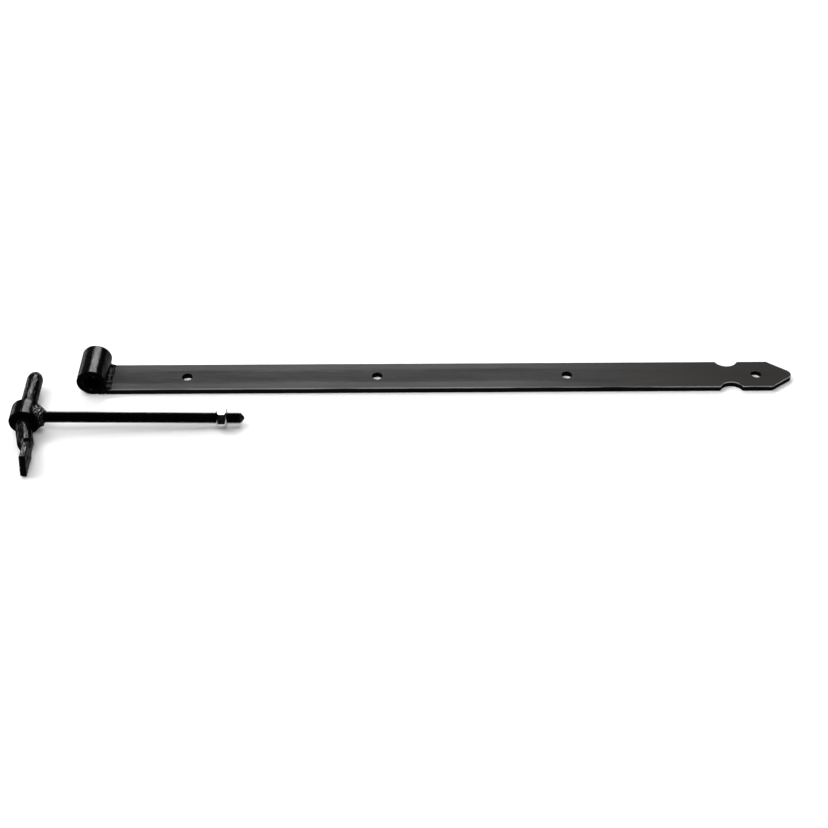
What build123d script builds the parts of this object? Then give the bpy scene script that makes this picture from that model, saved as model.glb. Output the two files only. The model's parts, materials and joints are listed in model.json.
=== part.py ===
from build123d import *
import os
from math import asin, atan, cos, degrees, hypot, radians, sin, sqrt, tan

# Hook and band hinge for a gate, both halves lying side by side on a flat surface.
# Millimetres, +Z up, +X along the strap to its point, +Y along the eye away from the hook's rod.
# The origin is the middle of the eye's bore.

# Strap
overall_length = 730.0       # outside of the eye to the nose of the point
strap_width = 40.0
strap_thickness = 6.0
point_half_angle = 36.5      # each slanted side of the point, from the strap's middle line
nose_radius = 7.0
strap_edge_radius = 0.7      # rolled edges of the flat bar

# Screw holes and edge notches of the strap
hole_diameter = 11.0
first_hole_from_eye = 94.0   # bore axis to the first hole
last_hole_from_nose = 36.0
hole_count = 4               # evenly spaced from the first to the last
notch_from_last_hole = 28.0
notch_chord = 23.0
notch_depth = 7.2

# Eye
eye_diameter = 30.0
pin_diameter = 16.0
eye_clearance = 0.5          # radial, between the eye's bore and the pin
eye_overhang = 3.0           # beyond the strap's far edge; the near ends are flush
eye_rim_chamfer = 0.8

# Weld between the eye and the strap
root_gap = 0.8               # between the strap's square end and the eye
eye_weld_toe_angle = -20.0   # where the bead ends on the eye, from the horizontal
eye_weld_leg = 6.2           # along the strap's upper face, from its square end
eye_weld_crown = 0.5
eye_weld_depth = 3.5         # below the strap's upper face, in the wedge under the eye
eye_weld_inset = 0.6         # from each edge of the strap
weld_seat = 0.05             # between pieces that are welded together

# Collar, through which the hook's pin passes
collar_diameter = 30.0
collar_length = 20.0
collar_rim_chamfer = 0.8
collar_seat = 0.2            # round the bar inside the collar and at both its faces, closed by hidden weld

# Hook pin above the collar
pin_reach = 55.5             # beyond the collar's far face
pin_nose_length = 10.5
pin_nose_radius = 3.0        # of the flat end
pin_nose_bulge = 1.3         # of the nose's side, from a straight cone

# Leg below the collar, ending in a forged spade
leg_bend_angle = 14.5
leg_bend_radius = 24.0
leg_round_length = 29.5      # round bar, along the pin's axis from the collar's near face
leg_reach = 61.0             # collar's near face to the spade's end face
spade_length = 20.5
spade_offset = 9.4           # spade's middle from the pin's axis, towards the rod
spade_drop = 0.5             # spade's middle below the pin's axis
spade_root_thickness = 9.0
spade_end_thickness = 6.2
spade_root_height = 26.0
spade_end_height = 28.0
spade_twist = 4.5            # about the leg, its lower edge away from the rod
spade_side_angle = 48.0      # half the share of the round bar that becomes a side of the spade
spade_edge_angle = 10.0      # half the share that becomes its upper or lower edge
spade_root_bevel = 2.6       # between the spade's sides and edges, where it starts
spade_end_bevel = 1.1
spade_bevel_slant = 1.8      # a bevel's height for its width
spade_tip_bevel = 2.0        # lower edge of the end face

# Threaded rod, its weld and its nut
rod_diameter = 12.0
rod_length = 200.0           # collar's surface to the rod's tip
rod_point_length = 4.2
rod_point_radius = 1.3
rod_weld_radius = 12.5       # of its foot, on the collar
rod_weld_reach = 3.2         # beyond the collar's surface, along the rod
rod_weld_angle = 45.0        # of its slope, from the rod
rod_weld_rim = 0.6           # height of the weld's edge on the rod
nut_flats = 19.0
nut_thickness = 10.0
nut_from_tip = 17.0          # outer face of the nut to the rod's tip
nut_clearance = 0.05         # radial, between the nut's bore and the rod
nut_chamfer_angle = 30.0
nut_chamfer_start = 0.95     # radius where the chamfer starts, as a share of half the flats

# Where the hook lies
hook_x = -57.0               # pin's axis
hook_y = -71.9               # middle of the collar
hook_turn = 0.8              # about the vertical

# Sizes that follow
eye_radius = eye_diameter / 2
pin_radius = pin_diameter / 2
rod_radius = rod_diameter / 2
collar_radius = collar_diameter / 2
half_width = strap_width / 2
strap_middle = -eye_overhang / 2  # of the strap's width, along the eye
half_collar = collar_length / 2
strap_bottom = -eye_radius
strap_top = strap_bottom + strap_thickness
strap_start = sqrt(eye_radius**2 - strap_top**2) + root_gap
nose_x = overall_length - eye_radius
apex_x = nose_x + nose_radius * (1 / sin(radians(point_half_angle)) - 1)
shoulder_x = apex_x - half_width / tan(radians(point_half_angle))
hole_pitch = (nose_x - last_hole_from_nose - first_hole_from_eye) / (hole_count - 1)
hole_positions = [first_hole_from_eye + i * hole_pitch for i in range(hole_count)]
notch_x = hole_positions[-1] - notch_from_last_hole
notch_radius = ((notch_chord / 2) ** 2 + notch_depth**2) / (2 * notch_depth)
rod_tip = collar_radius + rod_length
nut_outer = rod_tip - nut_from_tip
nut_inner = nut_outer - nut_thickness

# The collar and the nut's outer edge touch the surface that the eye lies on, so the rod slopes down a little.
hook_height = collar_radius - eye_radius
nut_corner_reach = hypot(nut_outer, nut_flats / 2)
hook_tilt = degrees(asin(collar_radius / nut_corner_reach) - atan(nut_flats / 2 / nut_outer))
hook_place = Location((hook_x, hook_y, hook_height), (0, 0, hook_turn)) * Location((0, 0, 0), (0, hook_tilt, 0))

# In the hook's own plane x runs along the rod, y along the pin, and the normal is square to both.
hook_plane = Plane(hook_place)
pin_axis = Axis(hook_plane.origin, hook_plane.y_dir)
rod_axis = Axis(hook_plane.origin, hook_plane.x_dir)


def hook_section(along_rod, along_pin, height=0, turn=0, twist=0):
    """A plane square to the pin at a point given from the collar's middle, facing the leg's end, its y axis upwards."""
    place = hook_place * Location((along_rod, along_pin, height), (0, 0, turn))
    return Plane(place * Location((0, 0, 0), (90, 0, 0)) * Location((0, 0, 0), (0, 0, twist)))


def spade_outline(thickness, height, bevel):
    """Corners of a rectangle with bevelled corners, round from the lower end of its right side."""
    side, edge = thickness / 2, height / 2
    low = edge - bevel * spade_bevel_slant
    right = [(side, -low), (side, low), (side - bevel, edge)]
    return right + [(bevel - side, edge), (-side, low), (-side, -low), (bevel - side, -edge), (side - bevel, -edge)]


def rod_section(along_rod):
    """A plane square to the rod, facing its tip, with its own y axis upwards."""
    return Plane(hook_place * Location((along_rod, 0, 0), (0, 90, 0)) * Location((0, 0, 0), (0, 0, 90)))


# Band strap: a flat bar, pointed at one end, with a row of holes and one pair of notches
with BuildPart() as band_strap:
    with BuildSketch(Plane((0, strap_middle, strap_bottom))) as strap_outline:
        with BuildLine():
            Polyline(
                (strap_start, half_width),
                (shoulder_x, half_width),
                (apex_x, 0),
                (shoulder_x, -half_width),
                (strap_start, -half_width),
                close=True,
            )
        make_face()
        fillet(strap_outline.vertices().sort_by(Axis.X)[-1], radius=nose_radius)
        notch_centre = half_width - notch_depth + notch_radius
        with Locations((notch_x, notch_centre), (notch_x, -notch_centre)):
            Circle(notch_radius, mode=Mode.SUBTRACT)
        with Locations([(x, 0) for x in hole_positions]):
            Circle(hole_diameter / 2, mode=Mode.SUBTRACT)
    extrude(amount=strap_thickness)
    flat_faces = band_strap.faces().filter_by(Axis.Z)
    fillet([face.outer_wire().edges() for face in flat_faces], radius=strap_edge_radius)
band_strap.part.label = "band_strap"

# Band eye: a short thick tube
with BuildPart() as band_eye:
    with BuildSketch(Plane.XZ):
        Circle(eye_radius)
        Circle(pin_radius + eye_clearance, mode=Mode.SUBTRACT)
    extrude(amount=half_width + eye_overhang / 2, both=True)
    rims = band_eye.faces().filter_by(Axis.Y).edges()
    chamfer(rims, length=eye_rim_chamfer)
band_eye.part.label = "band_eye"

# Eye weld: one bead that fills the corner above the strap and the wedge below it
toe = radians(eye_weld_toe_angle)
weld_round = eye_radius + weld_seat
weld_floor = strap_top - eye_weld_depth
weld_face_x = strap_start - weld_seat
weld_upper = (weld_round * cos(toe), weld_round * sin(toe))
weld_lower = (sqrt(weld_round**2 - weld_floor**2), weld_floor)
weld_toe = (strap_start + eye_weld_leg, strap_top + weld_seat)
with BuildPart() as eye_weld:
    with BuildSketch(Plane.XZ.offset(-strap_middle)):
        with BuildLine():
            RadiusArc(weld_upper, weld_lower, weld_round)
            Polyline(
                weld_lower,
                (weld_face_x, weld_floor),
                (weld_face_x, strap_top + weld_seat),
                weld_toe,
            )
            SagittaArc(weld_toe, weld_upper, -eye_weld_crown)
        make_face()
    extrude(amount=half_width - eye_weld_inset, both=True)
eye_weld.part.label = "eye_weld"

# Collar: a ring, square to the rod
with BuildPart() as collar:
    with BuildSketch(hook_section(0, 0)):
        Circle(collar_radius)
        Circle(pin_radius, mode=Mode.SUBTRACT)
    extrude(amount=half_collar, both=True)
    ends = collar.faces().filter_by(GeomType.PLANE)
    chamfer([face.outer_wire().edges() for face in ends], length=collar_rim_chamfer)
collar.part.label = "hook_collar"

# Pintle: one bar that is the hinge pin above the collar and a bent leg with a forged spade below it
pin_tip = half_collar + pin_reach
pin_start = half_collar + collar_seat
leg_start = -half_collar - collar_seat
nose_start = pin_tip - pin_nose_length
leg_shift = leg_bend_radius * (1 - cos(radians(leg_bend_angle)))
leg_drop = leg_bend_radius * sin(radians(leg_bend_angle))
leg_run = leg_round_length - leg_drop
round_end = (leg_shift + leg_run * tan(radians(leg_bend_angle)), leg_start - leg_round_length)
with BuildPart() as pintle:
    with BuildSketch(hook_plane) as pin_profile:
        with BuildLine():
            Polyline(
                (0, pin_tip),
                (0, leg_start),
                (pin_radius - collar_seat, leg_start),
                (pin_radius - collar_seat, pin_start),
                (pin_radius, pin_start),
                (pin_radius, nose_start),
            )
            SagittaArc((pin_radius, nose_start), (pin_nose_radius, pin_tip), -pin_nose_bulge)
            Line((pin_nose_radius, pin_tip), (0, pin_tip))
        make_face()
    revolve(axis=pin_axis)
    with BuildLine(hook_plane) as leg_line:
        bend = JernArc((0, leg_start), (0, -1), leg_bend_radius, leg_bend_angle)
        Line(bend @ 1, round_end)
    with BuildSketch(hook_section(0, leg_start)):
        Circle(pin_radius)
    sweep(path=leg_line.line)
    with BuildSketch(hook_section(*round_end, turn=leg_bend_angle)):
        with BuildLine():
            arc_ends = [spade_side_angle, 90 - spade_edge_angle, 90 + spade_edge_angle, 180 - spade_side_angle]
            arc_ends += [180 + end for end in arc_ends]
            arc_start = -spade_side_angle
            for arc_end in arc_ends:
                CenterArc((0, 0), pin_radius, arc_start, arc_end - arc_start)
                arc_start = arc_end
        make_face()
    spade_end = -half_collar - leg_reach
    with BuildSketch(hook_section(spade_offset, spade_end + spade_length, -spade_drop, twist=-spade_twist)):
        Polygon(*spade_outline(spade_root_thickness, spade_root_height, spade_root_bevel), align=None)
    with BuildSketch(hook_section(spade_offset, spade_end, -spade_drop, twist=-spade_twist)):
        Polygon(*spade_outline(spade_end_thickness, spade_end_height, spade_end_bevel), align=None)
    loft(ruled=True)
    end_face = pintle.faces().sort_by(pin_axis)[0]
    chamfer(end_face.edges().sort_by(Axis.Z)[0], length=spade_tip_bevel, length2=spade_end_bevel)
pintle.part.label = "hook_pintle"

# Threaded rod: a plain core with a blunt point, coped to the collar
with BuildPart() as threaded_rod:
    with BuildSketch(rod_section(pin_radius)):
        Circle(rod_radius)
    extrude(amount=rod_tip - pin_radius)
    tip_face = threaded_rod.faces().sort_by(rod_axis)[-1]
    chamfer(tip_face.edges(), length=rod_radius - rod_point_radius, length2=rod_point_length, reference=tip_face)
    with BuildSketch(hook_section(0, 0)):
        Circle(collar_radius + weld_seat)
    extrude(amount=collar_length, both=True, mode=Mode.SUBTRACT)
threaded_rod.part.label = "threaded_rod"

# Rod weld: a heavy cone of weld from the collar's side down to the rod
weld_end = collar_radius + rod_weld_reach
weld_rim_radius = rod_radius + rod_weld_rim
weld_shoulder = weld_end - (rod_weld_radius - weld_rim_radius) / tan(radians(rod_weld_angle))
with BuildPart() as rod_weld:
    with BuildSketch(hook_plane):
        with BuildLine():
            Polyline(
                (pin_radius, rod_radius + weld_seat),
                (weld_end, rod_radius + weld_seat),
                (weld_end, weld_rim_radius),
                (weld_shoulder, rod_weld_radius),
                (pin_radius, rod_weld_radius),
                close=True,
            )
        make_face()
    revolve(axis=rod_axis)
    with BuildSketch(hook_section(0, 0)):
        Circle(collar_radius + weld_seat)
    extrude(amount=collar_length, both=True, mode=Mode.SUBTRACT)
    with BuildSketch(rod_section(0)):
        Rectangle(collar_length - 2 * collar_rim_chamfer, collar_diameter)
    extrude(amount=weld_end, mode=Mode.INTERSECT)
rod_weld.part.label = "rod_weld"

# Hex nut: both faces chamfered, resting on one of its flats
nut_corner = nut_flats / 2 / cos(radians(30))
nut_flat_radius = nut_chamfer_start * nut_flats / 2
nut_slope = (nut_corner - nut_flat_radius) * tan(radians(nut_chamfer_angle))
with BuildPart() as hex_nut:
    with BuildSketch(rod_section(nut_inner)):
        RegularPolygon(nut_flats / 2, side_count=6, major_radius=False)
        Circle(rod_radius + nut_clearance, mode=Mode.SUBTRACT)
    extrude(amount=nut_thickness)
    with BuildSketch(hook_plane):
        with BuildLine():
            Polyline(
                (nut_inner, 0),
                (nut_inner, nut_flat_radius),
                (nut_inner + nut_slope, nut_corner),
                (nut_outer - nut_slope, nut_corner),
                (nut_outer, nut_flat_radius),
                (nut_outer, 0),
                close=True,
            )
        make_face()
    revolve(axis=rod_axis, mode=Mode.INTERSECT)
hex_nut.part.label = "hex_nut"

os.makedirs("parts", exist_ok=True)
export_step(band_strap.part, "parts/band_strap.step")
export_step(band_eye.part, "parts/band_eye.step")
export_step(eye_weld.part, "parts/eye_weld.step")
export_step(collar.part, "parts/hook_collar.step")
export_step(pintle.part, "parts/hook_pintle.step")
export_step(threaded_rod.part, "parts/threaded_rod.step")
export_step(rod_weld.part, "parts/rod_weld.step")
export_step(hex_nut.part, "parts/hex_nut.step")
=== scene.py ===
import json
from math import cos, pi, radians, sin

import bmesh
import bpy
import numpy as np
from mathutils import Matrix, Vector


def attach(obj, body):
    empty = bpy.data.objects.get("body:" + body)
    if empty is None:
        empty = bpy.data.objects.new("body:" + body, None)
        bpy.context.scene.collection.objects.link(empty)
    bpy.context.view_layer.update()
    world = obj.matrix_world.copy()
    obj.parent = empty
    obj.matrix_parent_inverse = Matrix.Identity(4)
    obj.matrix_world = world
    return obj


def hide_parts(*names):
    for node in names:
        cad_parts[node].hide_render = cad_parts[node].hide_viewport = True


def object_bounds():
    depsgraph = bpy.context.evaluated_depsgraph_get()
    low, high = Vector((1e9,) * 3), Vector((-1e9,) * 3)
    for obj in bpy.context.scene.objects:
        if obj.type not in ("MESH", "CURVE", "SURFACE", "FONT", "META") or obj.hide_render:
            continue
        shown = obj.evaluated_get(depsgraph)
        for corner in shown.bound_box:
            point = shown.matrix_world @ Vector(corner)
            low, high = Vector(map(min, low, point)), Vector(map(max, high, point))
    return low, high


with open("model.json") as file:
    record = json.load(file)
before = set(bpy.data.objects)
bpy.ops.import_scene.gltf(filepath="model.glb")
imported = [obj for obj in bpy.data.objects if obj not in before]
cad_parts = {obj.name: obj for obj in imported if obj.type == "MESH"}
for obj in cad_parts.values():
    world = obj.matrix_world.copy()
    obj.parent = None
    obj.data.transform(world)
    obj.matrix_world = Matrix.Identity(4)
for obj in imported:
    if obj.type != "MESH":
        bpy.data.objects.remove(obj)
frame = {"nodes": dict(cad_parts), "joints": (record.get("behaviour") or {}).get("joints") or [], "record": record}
cadLow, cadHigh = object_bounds()
print("frame loaded:", len(frame["nodes"]), "nodes")

mm = 0.001
floorHeight = cadLow.z
noTriangles = np.zeros((0, 3), int)


# Shared mesh helpers

# Puts point rows and face rows into a mesh object; edges of more than smoothAngle degrees stay sharp.
def addMesh(name, points, quads, triangles, smoothAngle):
    mesh = bpy.data.meshes.new(name)
    corners = np.concatenate([quads.ravel(), triangles.ravel()]).astype(np.int32)
    sizes = np.concatenate([np.full(len(quads), 4), np.full(len(triangles), 3)]).astype(np.int32)
    starts = np.concatenate([[0], np.cumsum(sizes)[:-1]]).astype(np.int32)
    mesh.vertices.add(len(points))
    mesh.vertices.foreach_set("co", np.ascontiguousarray(points, np.float32).ravel())
    mesh.loops.add(len(corners))
    mesh.loops.foreach_set("vertex_index", corners)
    mesh.polygons.add(len(sizes))
    mesh.polygons.foreach_set("loop_start", starts)
    mesh.polygons.foreach_set("use_smooth", np.ones(len(sizes), bool))
    mesh.update(calc_edges=True)
    mesh.validate()
    mesh.set_sharp_from_angle(angle=radians(smoothAngle))
    piece = bpy.data.objects.new(name, mesh)
    bpy.context.scene.collection.objects.link(piece)
    return piece


# Quads of a grid whose columns close on themselves; each quad joins a row to the next one.
def gridQuads(rows, columns):
    row = np.arange(rows - 1)[:, None]
    column = np.arange(columns)[None, :]
    after = (column + 1) % columns
    first = row * columns + column
    second = row * columns + after
    return np.stack([first, second, second + columns, first + columns], axis=-1).reshape(-1, 4)


# Joins rings of points, given as (rings, points round, 3), and closes both ends with a middle point each.
def closedTube(name, rings, smoothAngle):
    rows, columns = rings.shape[:2]
    points = rings.reshape(-1, 3)
    count = len(points)
    middles = np.stack([rings[0].mean(0), rings[-1].mean(0)])
    column = np.arange(columns)
    after = (column + 1) % columns
    last = (rows - 1) * columns
    start = np.stack([np.full(columns, count), after, column], axis=-1)
    end = np.stack([np.full(columns, count + 1), last + column, last + after], axis=-1)
    caps = np.concatenate([start, end])
    return addMesh(name, np.concatenate([points, middles]), gridQuads(rows, columns), caps, smoothAngle)


# Joins rings of points and the last ring to the first, so the surface closes like a tyre.
def closedLoop(name, rings, smoothAngle):
    rows, columns = rings.shape[:2]
    points = rings.reshape(-1, 3)
    quads = gridQuads(rows + 1, columns) % len(points)
    return addMesh(name, points, quads, noTriangles, smoothAngle)


# Joins points that lie together, which also drops faces without an area.
def mergeDoubles(piece):
    shell = bmesh.new()
    shell.from_mesh(piece.data)
    bmesh.ops.remove_doubles(shell, verts=shell.verts, dist=1e-7)
    shell.to_mesh(piece.data)
    shell.free()


# A sum of count sine waves of random direction, length and phase over the coordinates, about -1 to 1.
def smoothNoise(seed, count, *coordinates):
    random = np.random.default_rng(seed)
    total = 0
    for wave in range(count):
        phase = random.uniform(0, 2 * pi)
        for coordinate in coordinates:
            phase = phase + coordinate * random.uniform(-1, 1)
        total = total + np.sin(phase)
    return total / np.sqrt(count)


# Angles round a ring, without the last one that would meet the first.
def ringAngles(around):
    return np.linspace(0, 2 * pi, around, endpoint=False)[None, :]


# Where the hook lies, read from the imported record

def mount(name):
    return next(entry for entry in frame["record"]["mounts"] if entry["name"] == name)


rodAxis = np.array(frame["joints"][0]["axis"], float)
pinAxis = np.array(mount("pintle")["axis"], float)
upAxis = np.cross(rodAxis, pinAxis)
hook = {
    "pinMiddle": 32.6 * mm,  # from the collar's middle to the middle of the free pin
    "collarRadius": 15 * mm,
    "rodTip": 215 * mm,
}
hookCentre = np.array(mount("pintle")["pos_m"]) - hook["pinMiddle"] * pinAxis


# Row positions of points given along the rod, along the pin and upwards from the collar's middle.
def placeOnHook(alongRod, alongPin, height):
    return (
        hookCentre
        + np.asarray(alongRod)[..., None] * rodAxis
        + np.asarray(alongPin)[..., None] * pinAxis
        + np.asarray(height)[..., None] * upAxis
    )


# Shader helpers

def addNode(tree, kind, **settings):
    node = tree.nodes.new("ShaderNode" + kind)
    for key, value in settings.items():
        setattr(node, key, value)
    return node


# Links a socket, or sets a constant, on a node's input.
def setInput(tree, node, socket, value):
    target = node.inputs[socket]
    if isinstance(value, bpy.types.NodeSocket):
        tree.links.new(value, target)
    else:
        target.default_value = value


def maths(tree, operation, first, second=0.0, third=0.0, clamp=False):
    node = addNode(tree, "Math", operation=operation, use_clamp=clamp)
    for index, value in enumerate((first, second, third)):
        setInput(tree, node, index, value)
    return node.outputs[0]


def product(tree, total, *others):
    for other in others:
        total = maths(tree, "MULTIPLY", total, other)
    return total


# One less the given share of a value.
def lessShare(tree, value, share):
    return maths(tree, "MULTIPLY_ADD", value, -share, 1.0)


def remap(tree, value, low, high, toLow=0.0, toHigh=1.0):
    node = addNode(tree, "MapRange", clamp=True)
    for index, entry in enumerate((value, low, high, toLow, toHigh)):
        setInput(tree, node, index, entry)
    return node.outputs[0]


def mixColour(tree, factor, first, second):
    colourFactor, colourFirst, colourSecond, colourResult = 0, 6, 7, 2  # sockets of a Mix node set to colours
    node = addNode(tree, "Mix", data_type="RGBA")
    setInput(tree, node, colourFactor, factor)
    setInput(tree, node, colourFirst, first)
    setInput(tree, node, colourSecond, second)
    return node.outputs[colourResult]


def noise(tree, vector, scale, detail, roughness=0.5):
    node = addNode(tree, "TexNoise")
    setInput(tree, node, "Vector", vector)
    setInput(tree, node, "Scale", scale)
    setInput(tree, node, "Detail", detail)
    setInput(tree, node, "Roughness", roughness)
    return node.outputs[0]


def stretched(tree, vector, stretch):
    node = addNode(tree, "VectorMath", operation="MULTIPLY")
    setInput(tree, node, 0, vector)
    setInput(tree, node, 1, stretch)
    return node.outputs[0]


def splitVector(tree, vector):
    node = addNode(tree, "SeparateXYZ")
    setInput(tree, node, 0, vector)
    return node.outputs


def normalParts(tree):
    return splitVector(tree, addNode(tree, "NewGeometry").outputs["Normal"])


# Shader groups

def newGroup(name, inputs, outputs):
    group = bpy.data.node_groups.new(name, "ShaderNodeTree")
    for socketName, kind, value in inputs:
        socket = group.interface.new_socket(name=socketName, in_out="INPUT", socket_type=kind)
        if value is not None:
            socket.default_value = value
    for socketName in outputs:
        group.interface.new_socket(name=socketName, in_out="OUTPUT", socket_type="NodeSocketFloat")
    return group, group.nodes.new("NodeGroupInput").outputs, group.nodes.new("NodeGroupOutput").inputs


# Paint grain: fine noise, slow clouds and scattered specks, the first two drawn out by Stretch.
def grainGroup():
    group, given, result = newGroup(
        "paintGrain",
        [
            ("Vector", "NodeSocketVector", None),
            ("Stretch", "NodeSocketVector", (1, 1, 1)),
            ("Fine Scale", "NodeSocketFloat", 900.0),
            ("Cloud Scale", "NodeSocketFloat", 40.0),
            ("Speck Size", "NodeSocketFloat", 0.5),
        ],
        ["Fine", "Clouds", "Specks"],
    )
    rareness = 0.62  # noise level above which a cell holds a speck
    pattern = stretched(group, given["Vector"], given["Stretch"])
    fine = noise(group, pattern, given["Fine Scale"], 3.0, 0.6)
    clouds = noise(group, pattern, given["Cloud Scale"], 3.0, 0.55)
    cells = addNode(group, "TexVoronoi")
    setInput(group, cells, "Vector", given["Vector"])
    setInput(group, cells, "Scale", given["Fine Scale"])
    edge = maths(group, "MULTIPLY", given["Speck Size"], 0.5)
    near = remap(group, cells.outputs["Distance"], 0.0, edge, 1.0, 0.0)
    chosen = maths(group, "GREATER_THAN", noise(group, given["Vector"], given["Fine Scale"], 0.0), rareness)
    group.links.new(fine, result["Fine"])
    group.links.new(clouds, result["Clouds"])
    group.links.new(product(group, near, chosen), result["Specks"])
    return group


# Forged or welded steel under paint: large soft hammer marks with a little orange peel on top, as one height.
def forgedGroup():
    group, given, result = newGroup(
        "forgedHeight",
        [
            ("Vector", "NodeSocketVector", None),
            ("Mark Scale", "NodeSocketFloat", 120.0),
            ("Peel Scale", "NodeSocketFloat", 700.0),
            ("Peel", "NodeSocketFloat", 0.2),
        ],
        ["Height"],
    )
    marks = noise(group, given["Vector"], given["Mark Scale"], 1.0)
    peel = noise(group, given["Vector"], given["Peel Scale"], 2.0)
    group.links.new(maths(group, "MULTIPLY_ADD", peel, given["Peel"], marks), result["Height"])
    return group


grain = grainGroup()
forged = forgedGroup()
print("shader groups made")


# Group inputs are given with _ in place of the spaces in their names.
def useGroup(tree, group, **values):
    node = tree.nodes.new("ShaderNodeGroup")
    node.node_tree = group
    for key, value in values.items():
        setInput(tree, node, key.replace("_", " "), value)
    return node.outputs


def newMaterial(name):
    material = bpy.data.materials.new(name)
    material.use_nodes = True
    tree = material.node_tree
    shader = tree.nodes["Principled BSDF"]
    position = tree.nodes.new("ShaderNodeTexCoord").outputs["Object"]
    return material, tree, shader, position


def addBump(tree, shader, height, strength, distance):
    bump = addNode(tree, "Bump")
    setInput(tree, bump, "Height", height)
    setInput(tree, bump, "Strength", strength)
    setInput(tree, bump, "Distance", distance)
    tree.links.new(bump.outputs[0], shader.inputs["Normal"])
    tree.links.new(bump.outputs[0], shader.inputs["Coat Normal"])


# Satin paint over rolled flat bar, for the strap. A pair holds the values between which something grows from
# none to whole, and two more after it say from how much to how much.
strapPaint = {
    "dark": (0.010, 0.010, 0.011, 1),
    "light": (0.046, 0.046, 0.048, 1),
    "brown": (0.022, 0.0185, 0.015, 1),
    # the sides' darker colour is painted shade
    "sides": (0.004, 0.004, 0.004, 1),
    # colour of worn paint, also used as painted highlight on the edges
    "wornAndLit": (0.60, 0.57, 0.52, 1),
    "grain": {"Stretch": (0.12, 1.0, 1.0), "Fine_Scale": 700.0, "Cloud_Scale": 90.0, "Speck_Size": 0.55},
    "clouds": (0.3, 0.7),
    "fine": (0.35, 0.75),
    "roughness": (0.6, 0.8),
    "shares": {"clouds": 0.3, "fine": 0.3, "band": 0.6},  # of the way from dark to light
    "top": (0.5, 0.95),  # upward parts of the normal
    "middle": -0.0015,  # of the strap's width
    "halfWidth": 0.020,
    "bandFrom": (0.40, 0.60),  # shares of the half width where the paler bands along both edges begin
    "bandWander": 0.5,
    "bandFade": 0.75,  # towards the tip
    "brownFrom": (0.42, 0.62),  # along the strap, in metres
    "brownClouds": (0.35, 0.6, 0.3, 0.9),
    "tipDarkening": 0.4,
    "sideSheen": 0.07,
    "topSheen": (0.9, 1.0),
    "tipSheenFade": 0.2,
    "middleSheenLoss": 0.2,
    "fineHeight": 0.5,  # of the fine grain in the bumps, against the clouds
    "bumpStrength": 0.25,
    "bumpDistance": 0.0006,
    "wearAndHighlight": {
        "from": (0.56, 0.66),  # along the strap, in metres
        "edgeUp": (0.25, 0.45),  # upward parts of the normal between which a rounded edge begins
        "edgeTop": (0.85, 0.97, 1.0, 0.0),  # and ends
        # the near edges get more of it: painted highlight
        "edgeNear": (-0.15, 0.1, 1.0, 0.1),  # sideways parts of the normal: less on the far edge
        "edgeAmounts": (0.3, 1.0),  # before the worn part and in it
        "edgeClouds": (0.32, 0.5),
        # a painted highlight line by the near edge
        "nearHighlightLine": (0.0182, 0.0190),  # from the middle of the width, where the paler near line begins
        "lineClouds": (0.3, 0.6, 0.08, 0.25),
        "lineFade": 0.7,  # towards the tip
        "shoulder": (-0.0104, -0.0095),  # heights between which the wear right under the top edge begins
        "shoulderNear": (-0.9, -0.1, 0.5, 0.0),  # sideways parts of the normal: none on the far sides
        "shoulderClouds": (0.4, 0.6),
        "chippedFrom": (0.695, 0.712),  # along the strap, in metres
        "chips": (0.0, 0.35),
    },
}


# How far the edges are paled, partly as wear and partly as painted highlight: along the rounded edges, most on the
# near ones, in a painted highlight line by the near edge, on the near sides right under the top edge near the tip,
# and in worn chips at the nose.
def strapWearAndHighlightMask(tree, place, facing, isTop, across, tipwards, clouds, specks):
    wearAndHighlight = strapPaint["wearAndHighlight"]
    onEdge = product(
        tree,
        remap(tree, facing["Z"], *wearAndHighlight["edgeUp"]),
        remap(tree, facing["Z"], *wearAndHighlight["edgeTop"]),
        remap(tree, facing["Y"], *wearAndHighlight["edgeNear"]),
    )
    rubbedAndLit = product(
        tree,
        onEdge,
        remap(tree, place["X"], *wearAndHighlight["from"], *wearAndHighlight["edgeAmounts"]),
        remap(tree, clouds, *wearAndHighlight["edgeClouds"]),
    )
    highlightLine = product(
        tree,
        remap(tree, maths(tree, "MULTIPLY", across, -1.0), *wearAndHighlight["nearHighlightLine"]),
        isTop,
        remap(tree, clouds, *wearAndHighlight["lineClouds"]),
        lessShare(tree, tipwards, wearAndHighlight["lineFade"]),
    )
    shoulder = product(
        tree,
        remap(tree, place["Z"], *wearAndHighlight["shoulder"]),
        maths(tree, "SUBTRACT", 1.0, isTop),
        remap(tree, facing["Y"], *wearAndHighlight["shoulderNear"]),
        remap(tree, clouds, *wearAndHighlight["shoulderClouds"]),
        remap(tree, place["X"], *wearAndHighlight["from"]),
    )
    chips = product(tree, specks, remap(tree, place["X"], *wearAndHighlight["chippedFrom"], *wearAndHighlight["chips"]))
    for other in (shoulder, highlightLine, chips):
        rubbedAndLit = maths(tree, "MAXIMUM", rubbedAndLit, other)
    return rubbedAndLit


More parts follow.
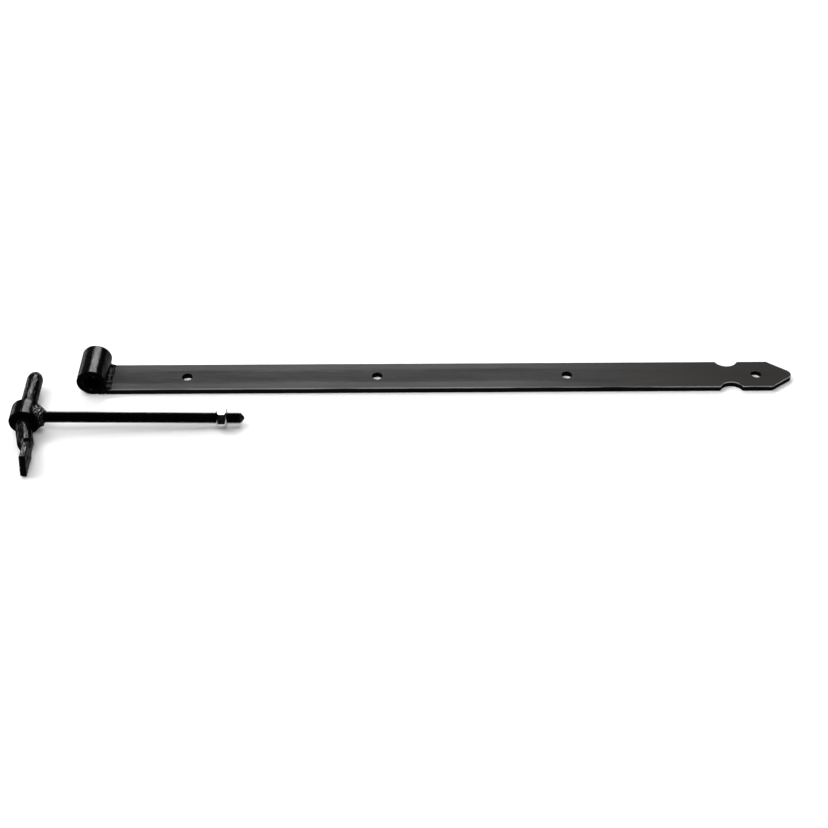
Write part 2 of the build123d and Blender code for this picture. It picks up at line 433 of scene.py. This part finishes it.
def strapMaterial():
    paint = strapPaint
    material, tree, shader, position = newMaterial("satinBlackOnRolledBar")
    place = splitVector(tree, position)
    facing = normalParts(tree)
    grains = useGroup(tree, grain, Vector=position, **paint["grain"])
    fine, clouds, specks = (grains[key] for key in ("Fine", "Clouds", "Specks"))
    isTop = remap(tree, facing["Z"], *paint["top"])
    tipwards = remap(tree, place["X"], *paint["brownFrom"])

    # paler bands along both edges
    across = maths(tree, "SUBTRACT", place["Y"], paint["middle"])
    sideways = maths(tree, "DIVIDE", maths(tree, "ABSOLUTE", across), paint["halfWidth"])
    wander = maths(tree, "MULTIPLY_ADD", clouds, paint["bandWander"], -paint["bandWander"] / 2)
    band = remap(tree, maths(tree, "ADD", sideways, wander), *paint["bandFrom"])
    band = product(tree, band, lessShare(tree, tipwards, paint["bandFade"]))

    # colour of the top, browner and darker towards the tip
    shares = paint["shares"]
    shade = product(tree, band, shares["band"])
    shade = maths(tree, "MULTIPLY_ADD", remap(tree, clouds, *paint["clouds"]), shares["clouds"], shade)
    shade = maths(tree, "MULTIPLY_ADD", remap(tree, fine, *paint["fine"]), shares["fine"], shade, clamp=True)
    top = mixColour(tree, shade, paint["dark"], paint["light"])
    brownness = product(tree, tipwards, remap(tree, clouds, *paint["brownClouds"]))
    top = mixColour(tree, brownness, top, paint["brown"])
    top = mixColour(tree, product(tree, tipwards, paint["tipDarkening"]), top, paint["sides"])
    # painted shade: faces that do not point up get the darker sides colour
    colour = mixColour(tree, isTop, paint["sides"], top)
    # paler edges: partly wear, partly painted highlight
    rubbedAndLit = strapWearAndHighlightMask(tree, place, facing, isTop, across, tipwards, clouds, specks)
    setInput(tree, shader, "Base Color", mixColour(tree, rubbedAndLit, colour, paint["wornAndLit"]))
    setInput(tree, shader, "Roughness", remap(tree, clouds, *paint["clouds"], *paint["roughness"]))
    shader.inputs["Specular IOR Level"].default_value = 0.0
    shader.inputs["Coat IOR"].default_value = 1.25
    shader.inputs["Coat Roughness"].default_value = 0.5

    # sheen, fullest on the bands and at the tip
    loss = paint["middleSheenLoss"]
    sheen = product(
        tree,
        isTop,
        remap(tree, clouds, *paint["clouds"], *paint["topSheen"]),
        lessShare(tree, tipwards, paint["tipSheenFade"]),
        maths(tree, "MULTIPLY_ADD", maths(tree, "MAXIMUM", band, tipwards), loss, 1.0 - loss),
    )
    setInput(tree, shader, "Coat Weight", maths(tree, "MAXIMUM", sheen, paint["sideSheen"]))
    height = maths(tree, "MULTIPLY_ADD", fine, paint["fineHeight"], clouds)
    addBump(tree, shader, height, paint["bumpStrength"], paint["bumpDistance"])
    return material


# Gloss paint for all other black pieces
glossPaint = {
    "colour": (0.0018, 0.0017, 0.0024, 1),
    "dust": (0.020, 0.019, 0.023, 1),
    "dustShare": 0.6,
    "grain": {"Stretch": (1.0, 0.5, 1.0), "Fine_Scale": 1100.0, "Speck_Size": 0.5},
    "clouds": (0.3, 0.7),
    "roughness": (0.5, 0.8),
    "sideways": (0.1, 0.8),  # parts of the normal to the right
    "sideCoat": (0.02, 0.28),  # to the left and in front, and to the right
    "coatFrom": (0.5, 0.93),  # upward parts of the normal between which the coat grows whole
    "patchClouds": (0.38, 0.62),
    "peelScale": 1200.0,
    "peel": 0.25,
    "bumpStrength": 0.5,
}
# Marks and patches are per metre, depth is in metres, and patches is the share of the coat missing in them
glossLooks = {
    "glossBlackOnTube": {
        "marks": 300.0, "depth": 0.0005, "stretch": (1.0, 0.5, 1.0),
        "index": 1.29, "roughness": 0.19, "patches": 0.35, "patchScale": 160.0,
    },
    "glossBlackOnForging": {
        "marks": 330.0, "depth": 0.0018, "stretch": (1.0, 0.35, 1.0),
        "index": 1.3, "roughness": 0.13, "patches": 0.75, "patchScale": 160.0,
    },
    "glossBlackOnWeld": {
        "marks": 420.0, "depth": 0.0050, "stretch": (1.0, 1.0, 1.0),
        "index": 2.4, "roughness": 0.05, "patches": 0.97, "patchScale": 520.0,
    },
    "glossBlackOnSeam": {
        "marks": 460.0, "depth": 0.0040, "stretch": (1.0, 1.0, 1.0),
        "index": 1.5, "roughness": 0.07, "patches": 0.97, "patchScale": 420.0,
    },
    "blackOnThread": {
        "marks": 500.0, "depth": 0.0003, "stretch": (1.0, 1.0, 1.0),
        "index": 1.4, "roughness": 0.2, "patches": 0.3, "patchScale": 160.0,
    },
}


# Index and roughness are the coat's, and stretch draws the marks out.
def glossMaterial(name, marks, depth, stretch, index, roughness, patches, patchScale):
    paint = glossPaint
    material, tree, shader, position = newMaterial(name)
    grains = useGroup(tree, grain, Vector=position, Cloud_Scale=patchScale, **paint["grain"])
    pattern = stretched(tree, position, stretch)
    height = useGroup(
        tree, forged, Vector=pattern, Mark_Scale=marks, Peel_Scale=paint["peelScale"], Peel=paint["peel"]
    )
    dusty = product(tree, grains["Specks"], paint["dustShare"])
    setInput(tree, shader, "Base Color", mixColour(tree, dusty, paint["colour"], paint["dust"]))
    setInput(tree, shader, "Roughness", remap(tree, grains["Clouds"], *paint["clouds"], *paint["roughness"]))
    facing = normalParts(tree)
    sides = remap(tree, facing["X"], *paint["sideways"], *paint["sideCoat"])
    coat = remap(tree, facing["Z"], *paint["coatFrom"], sides, 1.0)
    coat = product(tree, coat, remap(tree, grains["Clouds"], *paint["patchClouds"], 1.0 - patches, 1.0))
    setInput(tree, shader, "Coat Weight", coat)
    shader.inputs["Specular IOR Level"].default_value = 0.0
    shader.inputs["Coat IOR"].default_value = index
    shader.inputs["Coat Roughness"].default_value = roughness
    addBump(tree, shader, height["Height"], paint["bumpStrength"], depth)
    return material


# Zinc plate, for the nut
zincPlate = {
    "bright": (0.74, 0.75, 0.76, 1),
    "dull": (0.50, 0.52, 0.55, 1),
    # painted shade on the chamfers where they face up
    "shadedChamfers": (0.05, 0.05, 0.055, 1),  # the chamfers where they face up
    "grain": {"Stretch": (1.0, 1.0, 0.3), "Fine_Scale": 1500.0, "Cloud_Scale": 260.0, "Speck_Size": 0.4},
    "spread": (0.3, 0.7),
    "roughness": (0.07, 0.16),
    "chamferAlong": (0.25, 0.5),  # parts of the normal along the rod
    "chamferUp": (0.1, 0.4),
    "bumpStrength": 0.2,
    "bumpDistance": 0.0002,
}


def zincMaterial():
    plate = zincPlate
    material, tree, shader, position = newMaterial("brightZinc")
    grains = useGroup(tree, grain, Vector=position, **plate["grain"])
    clouds = remap(tree, grains["Clouds"], *plate["spread"])
    plated = mixColour(tree, clouds, plate["bright"], plate["dull"])
    facing = normalParts(tree)
    # painted shade: the chamfers get a near-black colour where they face up
    shadedChamfers = product(
        tree,
        remap(tree, maths(tree, "ABSOLUTE", facing["X"]), *plate["chamferAlong"]),
        remap(tree, facing["Z"], *plate["chamferUp"]),
    )
    setInput(tree, shader, "Base Color", mixColour(tree, shadedChamfers, plated, plate["shadedChamfers"]))
    setInput(tree, shader, "Roughness", remap(tree, grains["Fine"], *plate["spread"], *plate["roughness"]))
    shader.inputs["Metallic"].default_value = 1.0
    addBump(tree, shader, grains["Fine"], plate["bumpStrength"], plate["bumpDistance"])
    return material


strapBlack = strapMaterial()
tubeBlack, forgedBlack, weldBlack, seamBlack, threadBlack = [
    glossMaterial(name, **look) for name, look in glossLooks.items()
]
zinc = zincMaterial()
print("materials made")


def dress(node, material):
    slots = frame["nodes"][node].data.materials
    slots.clear()
    slots.append(material)


dress("band_strap", strapBlack)
dress("band_eye", tubeBlack)
dress("hook_collar", tubeBlack)
dress("hook_pintle", forgedBlack)


def finishPiece(piece, material, node, body):
    piece.data.materials.append(material)
    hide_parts(node)
    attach(piece, body)


# Threaded rod: a ridge that winds round the rod, its rows following the thread
thread = {
    "pitch": 1.75 * mm,
    "crest": 6.0 * mm,
    "root": 4.6 * mm,
    "crestShare": 0.08,  # of the pitch
    "rootShare": 0.14,
    "start": 14.0 * mm,  # inside the collar's weld
    "pointLength": 4.2 * mm,
    "pointRadius": 1.3 * mm,
    "smoothAngle": 50,
    "perPitch": 8,  # rows
    "around": 36,
    "turnsBefore": 2,  # of rows past the start
    "turnsAfter": 1,  # and past the tip
}


# Radius is a trapezoid wave of how far along the rod a point is, less its share of a turn. The rod's point
# is a cone. The rows run past both ends, where they gather on the end's edge, the outermost at its middle.
def makeThreadedRod():
    perPitch, around, before = thread["perPitch"], thread["around"], thread["turnsBefore"]
    length = hook["rodTip"] - thread["start"]
    rows = (int(np.ceil(length / thread["pitch"])) + before + thread["turnsAfter"]) * perPitch
    angle = np.arange(around) / around
    step = np.arange(rows + 1)[:, None] / perPitch + angle[None, :] - before
    along = np.clip(step * thread["pitch"], 0, length)
    phase = np.mod(along / thread["pitch"] - angle[None, :], 1.0)
    flank = (1 - thread["crestShare"] - thread["rootShare"]) / 2
    valley = thread["rootShare"] / 2
    corners = [0, valley, valley + flank, 1 - valley - flank, 1 - valley, 1]
    wave = np.interp(phase, corners, [0, 0, 1, 1, 0, 0])
    radius = thread["root"] + (thread["crest"] - thread["root"]) * wave
    taper = (thread["crest"] - thread["pointRadius"]) * (length - along) / thread["pointLength"]
    radius = np.minimum(radius, thread["pointRadius"] + taper)
    radius[0] = 0
    radius[-1] = 0
    turn = 2 * pi * angle[None, :]
    points = placeOnHook(thread["start"] + along, radius * np.cos(turn), radius * np.sin(turn)).reshape(-1, 3)
    row = np.arange(rows)[:, None]
    column = np.arange(around)[None, :]
    first = row * around + column
    second = np.where(column + 1 < around, first + 1, (row + perPitch) * around)
    quads = np.stack([first, second, second + around, first + around], axis=-1).reshape(-1, 4)
    quads = quads[(quads < len(points)).all(axis=1)]
    piece = addMesh("threadedRod", points, quads, noTriangles, thread["smoothAngle"])
    mergeDoubles(piece)
    return piece


rod = makeThreadedRod()
finishPiece(rod, threadBlack, "threaded_rod", "hinge_set")
print("threaded rod made")

# Hex nut: both ends chamfered round, softly rounded edges, a countersunk bore
hexNut = {
    "middle": 193.0 * mm,  # along the rod
    "halfThickness": 4.97 * mm,
    "halfFlats": 9.45 * mm,
    "bore": 6.1 * mm,
    "sink": 0.7 * mm,
    "endRadius": 8.3 * mm,  # where the chamfer meets the end face
    "chamferSlope": 0.7,
    "cornerRadius": 0.9 * mm,
    "edgeRadius": 0.5 * mm,
    "smoothAngle": 35,
    "rows": 44,
    "around": 240,
}


# The lesser of two radii, rounded off where they meet over about the given width.
def softMinimum(first, second, width):
    gap = np.clip(0.5 + 0.5 * (second - first) / width, 0, 1)
    return second + (first - second) * gap - width * gap * (1 - gap)


# Six flats with rounded corners, cut down by a cone at both ends. The surface turns in over the end faces to
# the countersinks and back through the bore, so that it closes like a tyre.
def makeHexNut():
    around = hexNut["around"]
    leastCosine = 1e-3  # keeps a flat's radius finite behind it
    turn = ringAngles(around)
    cosines = [np.cos(turn - pi / 2 - side * pi / 3) for side in range(6)]
    flats = [hexNut["halfFlats"] / np.maximum(cosine, leastCosine) for cosine in cosines]
    radius = flats[0]
    for flat in flats[1:]:
        radius = softMinimum(radius, flat, hexNut["cornerRadius"])
    share = np.linspace(0, 1, hexNut["rows"])[:, None]
    place = 0.5 - 0.5 * np.cos(pi * share)
    along = (2 * place - 1) * hexNut["halfThickness"]
    cone = hexNut["endRadius"] + (hexNut["halfThickness"] - np.abs(along)) / hexNut["chamferSlope"]
    outer = softMinimum(radius * np.ones_like(share), cone * np.ones_like(radius), hexNut["edgeRadius"])
    end, bore, sink = hexNut["halfThickness"], hexNut["bore"], hexNut["sink"]
    inner = [(end, bore + sink), (end - sink, bore), (sink - end, bore), (-end, bore + sink)]
    radii = np.concatenate([outer] + [np.full((1, around), size) for _, size in inner])
    insidePlaces = [np.full((1, around), where) for where, _ in inner]
    places = np.concatenate([along * np.ones_like(turn)] + insidePlaces)
    rings = placeOnHook(hexNut["middle"] + places, radii * np.cos(turn), radii * np.sin(turn))
    return closedLoop("hexNut", rings, hexNut["smoothAngle"])


nut = makeHexNut()
finishPiece(nut, zinc, "hex_nut", "nut")
print("hex nut made")

# Rod weld: a lumpy cone of weld between the collar's side and the rod
rodWeld = {
    "halfHeight": 12.4 * mm,  # of its foot, round the collar
    "halfWidth": 9.3 * mm,  # of its foot, along the collar
    "footPower": 3.0,  # 2 would be an ellipse, more squares it off
    "slopePower": 0.92,
    "end": 18.6 * mm,  # along the rod
    "nutStop": 18.85 * mm,  # which the nut at the end of its travel just clears
    "rim": 6.5 * mm,
    "inside": 4.6 * mm,  # radius of the surface that closes it, within the rod
    "innerEnds": (1.0 * mm, 5.5 * mm),  # how far it stays within the rim, and runs into the collar
    "swell": 0.32 * mm,
    "broadLumps": 0.22 * mm,
    "broadWaves": (7, 9, 7),  # how many are summed, how fast they change round the weld, and along it
    "fineLumps": 0.12 * mm,
    "fineWaves": (9, 22, 20),
    "deepest": 0.5 * mm,
    "beads": 90,
    "beadHeight": 1.0 * mm,
    "leastBead": 0.4,  # share of that height
    "beadLevels": (0.15, 0.85),  # shares of the way from the foot to the rim
    "beadSpread": (0.25, 0.35),  # square millimetres: of the smallest bead, and what the largest has more
    "slopeLength": 9,  # millimetres from the foot to the rim, for the beads' roundness
    "skinOutwards": 0.75,
    "skinAlong": 0.65,
    "smoothAngle": 60,
    "rows": 90,
    "around": 260,
}


def skinWaves(seed, waves, turn, share):
    count, pace, paceAlong = waves
    return smoothNoise(seed, count, pace * np.cos(turn), pace * np.sin(turn), paceAlong * share)


# A foot on the collar, an ellipse squared off sideways, runs in a slightly swollen line to a rim on the rod.
# Waves and round beads move its skin along a direction between outwards and the rod's, and the surface comes
# back under itself through the collar and the rod, so that it closes.
def makeRodWeld():
    around, power = rodWeld["around"], rodWeld["footPower"]
    turn = ringAngles(around)
    share = np.linspace(0, 1, rodWeld["rows"])[:, None]
    wide = np.abs(np.cos(turn) / rodWeld["halfWidth"]) ** power
    high = np.abs(np.sin(turn) / rodWeld["halfHeight"]) ** power
    foot = 1 / (wide + high) ** (1 / power)
    footAlong = np.sqrt(hook["collarRadius"] ** 2 - (foot * np.sin(turn)) ** 2)
    radius = foot + (rodWeld["rim"] - foot) * share ** rodWeld["slopePower"]
    along = footAlong + (rodWeld["end"] - footAlong) * share
    middle = np.sin(pi * share)
    broad = skinWaves(11, rodWeld["broadWaves"], turn, share)
    small = skinWaves(12, rodWeld["fineWaves"], turn, share)
    skin = rodWeld["swell"] * middle
    skin = skin + middle ** 0.5 * (rodWeld["broadLumps"] * broad + rodWeld["fineLumps"] * small)
    first, last = rodWeld["beadLevels"]
    narrow, wider = rodWeld["beadSpread"]
    least = rodWeld["leastBead"]
    for where, height, size in np.random.default_rng(7).uniform(0, 1, (rodWeld["beads"], 3)):
        sideways = np.angle(np.exp(1j * (turn - 2 * pi * where))) * radius / mm
        upwards = (share - first - (last - first) * height) * rodWeld["slopeLength"]
        bead = np.exp(-(sideways ** 2 + upwards ** 2) / (narrow + wider * size))
        skin = skin + rodWeld["beadHeight"] * (least + (1 - least) * size) * bead
    skin = np.maximum(skin, -rodWeld["deepest"])
    radius = radius + skin * rodWeld["skinOutwards"]
    along = np.minimum(along + skin * rodWeld["skinAlong"], rodWeld["nutStop"])
    under = np.full((1, around), rodWeld["inside"])
    withinRim, intoCollar = rodWeld["innerEnds"]
    underRim = np.full((1, around), rodWeld["end"] - withinRim)
    underFoot = np.full((1, around), hook["collarRadius"] - intoCollar)
    radius = np.concatenate([radius, under, under])
    along = np.concatenate([along, underRim, underFoot])
    rings = placeOnHook(along, radius * np.cos(turn), radius * np.sin(turn))
    return closedLoop("rodWeld", rings, rodWeld["smoothAngle"])


weld = makeRodWeld()
finishPiece(weld, weldBlack, "rod_weld", "hinge_set")
print("rod weld made")

# Eye weld: one bead along the strap's end, and a run of weld where it ends towards the camera
eyeWeld = {
    "eyeRadius": 15.0 * mm,
    "toeOnEye": -21.0,  # degrees from the horizontal
    "intoEye": 0.4 * mm,
    "strapTop": -9.0 * mm,
    "intoStrap": 0.1 * mm,
    "strapToe": (18.0 * mm, 18.9 * mm),  # at the far end and at the near end
    "toeWander": 0.6 * mm,
    "wanderWaves": (5, 0.5),  # how many are summed, and how fast they change along the bead
    "floor": -14.6 * mm,
    "back": 10.2 * mm,
    "core": (15.5 * mm, -10.0 * mm),  # towards which both ends are pulled in
    "pulledShare": 0.035,  # of the length, at each end
    "leastSize": 0.25,
    "middle": -1.5 * mm,  # of the strap's width
    "halfLength": 19.6 * mm,
    "swell": 0.25 * mm,
    "roundness": 0.7,  # less is fuller
    "lumps": 0.45 * mm,
    "lumpShares": (0.75, 0.6),  # of the ripples and of the waves
    "lumpWaves": (8, 0.9, 5),  # how many are summed, how fast they change along the bead, and across it
    "scallop": 0.5 * mm,
    "ripple": 3.4 * mm,
    "rippleBend": 0.9,  # ripples that a line straight across the bead meets
    "toeBeads": 12,
    "toeBeadsBetween": (-0.92, 0.95),  # shares of the half length
    "toeBeadHeight": 0.8 * mm,
    "toeBeadShares": (0.75, 0.25),  # of that height: of a middling bead, and what the largest has more
    "toeBeadSpread": (0.55, 0.25),  # square millimetres, likewise
    "toeBeadLevel": 0.84,  # share of the way from the eye to the strap's toe
    "toeBeadLength": 8,  # millimetres across the bead, for their roundness
    "undersideTurn": 0.62,  # half turns of the curve under the bead
    "leastDepth": 0.5 * mm,  # of the underside below the toe
    "skinOutwards": 0.75,
    "skinUpwards": 0.66,
    "riseAtEye": (0.4, 4),  # share of that right at the eye, and how fast it grows across the bead
    "smoothAngle": 60,
    "rows": 220,
    "topColumns": 40,
    "backColumns": 20,
}


# A rounded bead section, from the eye's side over to the strap and back underneath, drawn along the eye.
# Its skin rises and falls in ripples that curve across the bead, and both ends are pulled in to close.
def makeEyeWeld():
    down = np.linspace(0, 1, eyeWeld["rows"])[:, None]
    share = np.linspace(0, 1, eyeWeld["topColumns"])[None, :]
    place = eyeWeld["halfLength"] * (1 - 2 * down)
    toe = radians(eyeWeld["toeOnEye"])
    startX, startZ = eyeWeld["eyeRadius"] * cos(toe) - eyeWeld["intoEye"], eyeWeld["eyeRadius"] * sin(toe)
    count, pace = eyeWeld["wanderWaves"]
    wander = eyeWeld["toeWander"] * smoothNoise(21, count, place / mm * pace)
    farToe, nearToe = eyeWeld["strapToe"]
    endX = farToe + (nearToe - farToe) * down + wander
    endZ = eyeWeld["strapTop"] - eyeWeld["intoStrap"]
    ripple = np.cos(2 * pi * (place / eyeWeld["ripple"] + eyeWeld["rippleBend"] * share ** 2))
    count, pace, paceAcross = eyeWeld["lumpWaves"]
    lump = smoothNoise(22, count, place / mm * pace, paceAcross * share)
    bulge = np.sin(pi * share) ** eyeWeld["roundness"]
    rippleShare, lumpShare = eyeWeld["lumpShares"]
    unevenness = rippleShare * ripple * share + lumpShare * lump
    skin = bulge * (eyeWeld["swell"] + eyeWeld["lumps"] * unevenness)
    scallop = eyeWeld["scallop"] * ripple * share ** 3
    spots = np.linspace(*eyeWeld["toeBeadsBetween"], eyeWeld["toeBeads"]) * eyeWeld["halfLength"]
    shifts, sizes = np.random.default_rng(23).uniform(-1, 1, (2, eyeWeld["toeBeads"]))
    across = (share - eyeWeld["toeBeadLevel"]) * eyeWeld["toeBeadLength"]
    middling, taller = eyeWeld["toeBeadShares"]
    narrow, wider = eyeWeld["toeBeadSpread"]
    for spot, shift, size in zip(spots, shifts, sizes):
        spread = ((place - spot - shift * mm) / mm) ** 2 + across ** 2
        bead = np.exp(-spread / (narrow + wider * size))
        skin = skin + eyeWeld["toeBeadHeight"] * (middling + taller * size) * bead
    topX = startX + (endX - startX) * share + skin * eyeWeld["skinOutwards"] + scallop
    atEye, growth = eyeWeld["riseAtEye"]
    rising = np.minimum(1, growth * share + atEye)
    topZ = startZ + (endZ - startZ) * share + skin * eyeWeld["skinUpwards"] * rising
    back = np.linspace(0, 1, eyeWeld["backColumns"] + 2)[None, 1:-1]
    backX = endX + (eyeWeld["back"] - endX) * back
    underside = endZ + (eyeWeld["floor"] - endZ) * np.sin(pi * back * eyeWeld["undersideTurn"])
    backZ = np.minimum(endZ - eyeWeld["leastDepth"], underside)
    x = np.concatenate([topX, backX * np.ones_like(down)], axis=1)
    z = np.concatenate([topZ, backZ * np.ones_like(down)], axis=1)
    pull = np.clip(np.minimum(down, 1 - down) / eyeWeld["pulledShare"], 0, 1)
    size = eyeWeld["leastSize"] + (1 - eyeWeld["leastSize"]) * np.sqrt(1 - (1 - pull) ** 2)
    coreX, coreZ = eyeWeld["core"]
    x = coreX + (x - coreX) * size
    z = coreZ + (z - coreZ) * size
    rings = np.stack([x, (place + eyeWeld["middle"]) * np.ones_like(x), z], axis=-1)
    return closedTube("eyeWeld", rings[:, ::-1], eyeWeld["smoothAngle"])


endBlob = {
    "middle": (10.4 * mm, -20.7 * mm, -11.2 * mm),
    "halfSizes": (6.0 * mm, 2.0 * mm, 3.0 * mm),
    "slope": 22.0,  # degrees, its right end up
    "lumps": 0.16,  # shares of its size
    "lumpWaves": (7, 4),  # how many are summed, and how fast they change
    "fineLumps": 0.09,
    "fineWaves": (8, 11),
    "overFloor": 0.05 * mm,
    "smoothAngle": 60,
    "rows": 40,
    "around": 72,
}


# A flattened ball in polar rows, swollen and pinched by waves over its directions, tilted about the eye.
def makeEndBlob():
    lift = np.linspace(-pi / 2, pi / 2, endBlob["rows"])[:, None]
    turn = ringAngles(endBlob["around"])
    east, north = np.cos(lift) * np.cos(turn), np.cos(lift) * np.sin(turn)
    top = np.sin(lift) * np.ones_like(turn)
    count, pace = endBlob["lumpWaves"]
    lumps = endBlob["lumps"] * smoothNoise(31, count, pace * east, pace * north, pace * top)
    count, pace = endBlob["fineWaves"]
    fineLumps = endBlob["fineLumps"] * smoothNoise(32, count, pace * east, pace * north, pace * top)
    grow = 1 + lumps + fineLumps
    x, y, z = (axis * size * grow for axis, size in zip((east, north, top), endBlob["halfSizes"]))
    slope = radians(endBlob["slope"])
    x, z = x * cos(slope) - z * sin(slope), x * sin(slope) + z * cos(slope)
    middleX, middleY, middleZ = endBlob["middle"]
    z = np.maximum(z + middleZ, floorHeight + endBlob["overFloor"])
    rings = np.stack([x + middleX, y + middleY, z], axis=-1)
    return closedTube("eyeWeldEnd", rings[1:-1], endBlob["smoothAngle"])


bead = makeEyeWeld()
finishPiece(bead, seamBlack, "eye_weld", "hinge_set")
blob = makeEndBlob()
finishPiece(blob, seamBlack, "eye_weld", "hinge_set")
print("eye weld made")

# Studio: pale floor, one soft box behind, one on the left, one above, a small one in front, and white walls
# under a dark ceiling
studio = {
    "floorSize": 8.0,  # half its width
    "floorColour": (0.92, 0.92, 0.92, 1),
    "floorLift": 0.12,
    "farLift": (1.2, 3.0, 1.0),  # distances between which the far floor is lifted to white, and how much
    "walls": (1.0, 1.0, 1.0, 1),
    "ceiling": (0.006, 0.006, 0.007, 1),
    "wallHeight": (0.03, 0.1),  # sines of the angles between which the walls fade
    "middle": (0.30, 0.0, 0.0),
}
# Azimuth 0 is behind the object and 90 on its right
lamps = {
    "softBoxBehind": {
        "azimuth": 0.0, "elevation": 41.5, "distance": 4.0,
        "width": 2.2, "height": 1.1, "radiance": 13.0,
    },
    "softBoxLeft": {
        "azimuth": -75.0, "elevation": 52.0, "distance": 4.0,
        "width": 3.0, "height": 2.4, "radiance": 5.4,
    },
    "softBoxAbove": {
        "azimuth": 180.0, "elevation": 84.0, "distance": 3.6,
        "width": 2.4, "height": 2.4, "radiance": 2.4,
    },
    "fillInFront": {
        "azimuth": 180.0, "elevation": 55.0, "distance": 4.0,
        "width": 1.4, "height": 0.5, "radiance": 6.0,
    },
}


def makeFloor():
    corner = np.array([[-1, -1], [1, -1], [1, 1], [-1, 1]]) * studio["floorSize"]
    points = np.column_stack([corner, np.full(4, floorHeight)])
    piece = addMesh("floor", points, np.array([[0, 1, 2, 3]]), noTriangles, smoothAngle=30)
    material = bpy.data.materials.new("paleFloor")
    material.use_nodes = True
    tree = material.node_tree
    tree.nodes.remove(tree.nodes["Principled BSDF"])
    diffuse = addNode(tree, "BsdfDiffuse")
    diffuse.inputs["Color"].default_value = studio["floorColour"]
    glow = addNode(tree, "Emission")
    path = addNode(tree, "LightPath")
    seen = maths(tree, "MAXIMUM", path.outputs["Is Camera Ray"], path.outputs["Is Glossy Ray"])
    seen = maths(tree, "MAXIMUM", seen, path.outputs["Is Transmission Ray"])
    apart = addNode(tree, "VectorMath", operation="LENGTH")
    setInput(tree, apart, 0, addNode(tree, "TexCoord").outputs["Object"])
    near, far, whole = studio["farLift"]
    lift = remap(tree, apart.outputs["Value"], near, far, studio["floorLift"], whole)
    setInput(tree, glow, "Strength", maths(tree, "MULTIPLY", seen, lift))
    both = addNode(tree, "AddShader")
    setInput(tree, both, 0, diffuse.outputs[0])
    setInput(tree, both, 1, glow.outputs[0])
    tree.links.new(both.outputs[0], tree.nodes["Material Output"].inputs["Surface"])
    piece.data.materials.append(material)


# White walls round the floor that fade into a dark ceiling, by the height of the direction looked in.
def makeSurroundings():
    world = bpy.data.worlds.new("studioAir")
    bpy.context.scene.world = world
    world.use_nodes = True
    tree = world.node_tree
    background = tree.nodes["Background"]
    direction = splitVector(tree, addNode(tree, "TexCoord").outputs["Generated"])
    fade = remap(tree, direction["Z"], *studio["wallHeight"])
    setInput(tree, background, "Color", mixColour(tree, fade, studio["walls"], studio["ceiling"]))
    setInput(tree, background, "Strength", 1.0)


# A rectangle of light aimed at the studio's middle.
def makeLamp(name, azimuth, elevation, distance, width, height, radiance):
    lamp = bpy.data.lights.new(name, "AREA")
    lamp.shape = "RECTANGLE"
    lamp.size = width
    lamp.size_y = height
    lamp.energy = radiance * pi * width * height
    piece = bpy.data.objects.new(name, lamp)
    bpy.context.scene.collection.objects.link(piece)
    turn, lift = radians(azimuth), radians(elevation)
    direction = Vector((sin(turn) * cos(lift), cos(turn) * cos(lift), sin(lift)))
    piece.location = Vector(studio["middle"]) + direction * distance
    piece.rotation_euler = direction.to_track_quat("Z", "Y").to_euler()


makeFloor()
makeSurroundings()
for lampName, settings in lamps.items():
    makeLamp(lampName, **settings)
print("studio made")

# Camera at the photograph's viewing angle
view = {
    "place": (0.3149, -1.1655, 0.9671),
    "turn": 0.589,
    "dip": 41.466,
    "roll": 0.065,
    "focalPixels": 1477.4,
    "framePixels": 828,
    "sensor": 36.0,
    "farthest": 50.0,
}


def makeCamera():
    turn, dip, roll = radians(view["turn"]), radians(view["dip"]), radians(view["roll"])
    forward = Vector((sin(turn) * cos(dip), cos(turn) * cos(dip), -sin(dip)))
    side = forward.cross(Vector((0, 0, 1))).normalized()
    rise = side.cross(forward)
    tiltedSide = side * cos(roll) + rise * sin(roll)
    tiltedRise = rise * cos(roll) - side * sin(roll)
    lens = bpy.data.cameras.new("camera")
    lens.sensor_fit = "HORIZONTAL"
    lens.sensor_width = view["sensor"]
    lens.lens = view["focalPixels"] / view["framePixels"] * view["sensor"]
    lens.clip_end = view["farthest"]
    camera = bpy.data.objects.new("camera", lens)
    bpy.context.scene.collection.objects.link(camera)
    axes = Matrix((tiltedSide, tiltedRise, -forward)).transposed().to_4x4()
    camera.matrix_world = Matrix.Translation(view["place"]) @ axes
    bpy.context.scene.camera = camera


makeCamera()
bpy.context.scene.view_settings.view_transform = "Standard"
print("camera placed")

print("scene finished")
